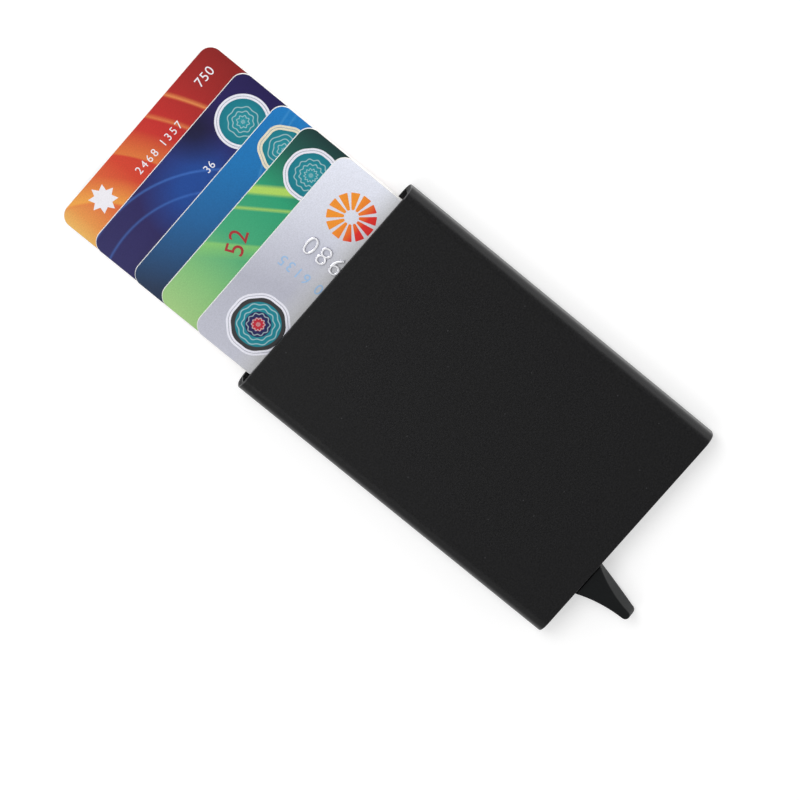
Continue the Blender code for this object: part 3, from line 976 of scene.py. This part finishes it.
PAD_GROOVE = 0.14 * MM
PAD_RISE = 0.03 * MM
PAD_PITCH = 2.54 * MM
PAD_REACH = 2.3 * MM
PLATE_CORNER = 1.5 * MM
GOLD_GRAIN = 0.4 * MM
TAPE_GRAIN = 0.3 * MM
TAPE_DEPTH = 0.01 * MM

# Hard gold over nickel: warm, bright and slightly brushed.
gold = surface("hard_gold_plating", GOLD_GRAIN, ("#d8aa5c", "#e8c07a"), (0.18, 0.34), 0.0,
               Metallic=1.0)[0]

# The tape shows between the pads as a dull olive brown weave.
tape = surface("glass_epoxy_tape", TAPE_GRAIN, ("#4e4630", "#686044"), (0.50, 0.70),
               TAPE_DEPTH)[0]


def contact_plate(card):
    """One contact plate with its pads."""
    low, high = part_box("chip_" + card)
    middle = (low + high) / 2
    plate = block("contact_plate_" + card, low, high - Vector((0.0, 0.0, PAD_RISE)))
    round_edges(plate, PLATE_CORNER, 8, lambda edge: runs_along(edge, 2))
    cuts = [(0, PAD_PITCH * step) for step in (-1, 0, 1)] + [(1, PAD_REACH), (1, -PAD_REACH)]
    for axis, offset in cuts:
        normal = Vector((0.0, 0.0, 0.0))
        normal[axis] = 1.0
        choose(plate, "FACE", lambda face: True)
        bpy.ops.mesh.bisect(plane_co=middle + normal * offset, plane_no=normal)
        bpy.ops.object.mode_set(mode="OBJECT")
    choose(plate, "FACE", lambda face: face.normal.z > 0.9
           and abs(face.calc_center_median().y - middle.y) < PAD_REACH)
    bpy.ops.mesh.dissolve_faces()
    bpy.ops.object.mode_set(mode="OBJECT")
    paint(plate, tape)
    plate.data.materials.append(gold)
    choose(plate, "FACE", lambda face: face.normal.z > 0.9)
    bpy.ops.mesh.inset(thickness=PAD_GROOVE / 2, depth=PAD_RISE, use_individual=True)
    plate.active_material_index = 1
    bpy.ops.object.material_slot_assign()
    bpy.ops.object.mode_set(mode="OBJECT")
    settle(plate, card + "_body", "chip_contacts", "chip_" + card)


for card in ("red", "indigo", "blue", "green", "silver"):
    contact_plate(card)

# Camera, floor and light
# A long lens held above the front face, as the photograph was taken.

CAMERA_PLACE = Vector((272.69, 300.16, 1428.66)) * MM
CAMERA_RIGHT = Vector((0.64772, -0.76150, 0.02412))
CAMERA_DOWN = Vector((-0.73761, -0.61885, 0.27009))
FOCAL_PIXELS = 6393
FRAME_PIXELS = 800
SENSOR = 36.0
FLOOR_SIZE = 8.0
FLOOR_LEVEL = -0.0002
FLOOR_LIFT = 0.48
lens = bpy.data.cameras.new("camera")
lens.sensor_width = SENSOR
lens.lens = SENSOR * FOCAL_PIXELS / FRAME_PIXELS
lens.clip_start, lens.clip_end = 0.1, 100.0
camera = bpy.data.objects.new("camera", lens)
bpy.context.scene.collection.objects.link(camera)
right = CAMERA_RIGHT.normalized()
back = right.cross(-CAMERA_DOWN).normalized()
up = back.cross(right)
camera.matrix_world = Matrix.Translation(CAMERA_PLACE) @ Matrix((right, up, back)).transposed().to_4x4()
bpy.context.scene.camera = camera

bpy.ops.object.select_all(action="DESELECT")
bpy.ops.mesh.primitive_plane_add(size=FLOOR_SIZE, location=(0.0, 0.0, FLOOR_LEVEL))
floor = bpy.context.object
floor.name = floor.data.name = "floor"
bpy.ops.object.transform_apply(location=True, rotation=True, scale=True)

# It glows a little to the camera and in reflections, which lifts it to white and leaves the
# shadow on it.
pale, tree, shader = new_finish("pale_floor", Base_Color=linear("#d2d2d2"), Roughness=0.9)
path = add(tree, "LightPath")
seen = add(tree, "Math", {"operation": "MAXIMUM"}, {
    0: path.outputs["Is Camera Ray"],
    1: path.outputs["Is Glossy Ray"],
})
seen_all = add(tree, "Math", {"operation": "MAXIMUM"}, {
    0: seen.outputs["Value"],
    1: path.outputs["Is Transmission Ray"],
})
lift = add(tree, "Math", {"operation": "MULTIPLY"}, {0: seen_all.outputs["Value"], 1: FLOOR_LIFT})
shader.inputs["Emission Color"].default_value = (1.0, 1.0, 1.0, 1.0)
tree.links.new(lift.outputs["Value"], shader.inputs["Emission Strength"])
# It has no underside, and it isn't there for the light that the underside of the holder gathers,
# so that the back can be looked at and isn't black.
below = add(tree, "Math", {"operation": "MAXIMUM"}, {
    0: add(tree, "NewGeometry").outputs["Backfacing"],
    1: path.outputs["Is Diffuse Ray"],
})
unseen = add(tree, "Math", {"operation": "MAXIMUM"}, {
    0: below.outputs["Value"],
    1: path.outputs["Is Shadow Ray"],
})
open_below = add(tree, "MixShader", {}, {
    0: unseen.outputs["Value"],
    1: shader.outputs["BSDF"],
    2: add(tree, "BsdfTransparent").outputs["BSDF"],
})
tree.links.new(open_below.outputs["Shader"], tree.nodes["Material Output"].inputs["Surface"])
paint(floor, pale)

# The long sides mirror the bright foot of the studio's dome and the flat front mirrors its
# darker top. The cut between them leans to the right, where the room is also brighter.
DOME_LEAN = 0.27
DOME_LEFT = 0.5
DOME_RIGHT = 1.4
world = bpy.data.worlds.new("studio")
bpy.context.scene.world = world
world.use_nodes = True
tree = world.node_tree
sky = tree.nodes["Background"]
place = add(tree, "TexCoord").outputs["Generated"]
parts = add(tree, "SeparateXYZ", {}, {"Vector": place})
height = add(tree, "VectorMath", {"operation": "DOT_PRODUCT"}, {0: place, 1: (DOME_LEAN, 0.0, 1.0)})
dome = add(tree, "ValToRGB", {}, {"Fac": height.outputs["Value"]}, [
    (0.00, (1.0, 1.0, 1.0, 1.0)),
    (0.69, (1.0, 1.0, 1.0, 1.0)),
    (0.73, (0.15, 0.15, 0.15, 1.0)),
])
bright_side = add(tree, "MapRange", {}, {
    "Value": parts.outputs["X"],
    "From Min": -0.5,
    "From Max": 0.5,
    "To Min": DOME_LEFT,
    "To Max": DOME_RIGHT,
})
lit = add(tree, "VectorMath", {"operation": "SCALE"}, {
    0: dome.outputs["Color"],
    "Scale": bright_side.outputs["Result"],
})
path = add(tree, "LightPath")
shown = add(tree, "Mix", {"data_type": "RGBA"}, {
    0: path.outputs["Is Camera Ray"],
    6: lit.outputs["Vector"],
    7: (1.0, 1.0, 1.0, 1.0),
})
tree.links.new(shown.outputs[2], sky.inputs["Color"])
sky.inputs["Strength"].default_value = 1.0


def softbox(name, place, target, size, power):
    """A square studio light aimed at a point."""
    data = bpy.data.lights.new(name, "AREA")
    data.size = size
    data.energy = power
    lamp = bpy.data.objects.new(name, data)
    bpy.context.scene.collection.objects.link(lamp)
    lamp.location = place
    lamp.rotation_euler = (Vector(target) - Vector(place)).to_track_quat("-Z", "Y").to_euler()


softbox("key_light", (0.25, 0.95, 1.5), (0.0, 0.02, 0.0), 0.8, 13.5)
softbox("overhead_light", (-0.42, 0.17, 0.85), (0.0, 0.02, 0.0), 0.4, 1.25)
bpy.context.scene.view_settings.view_transform = "Standard"
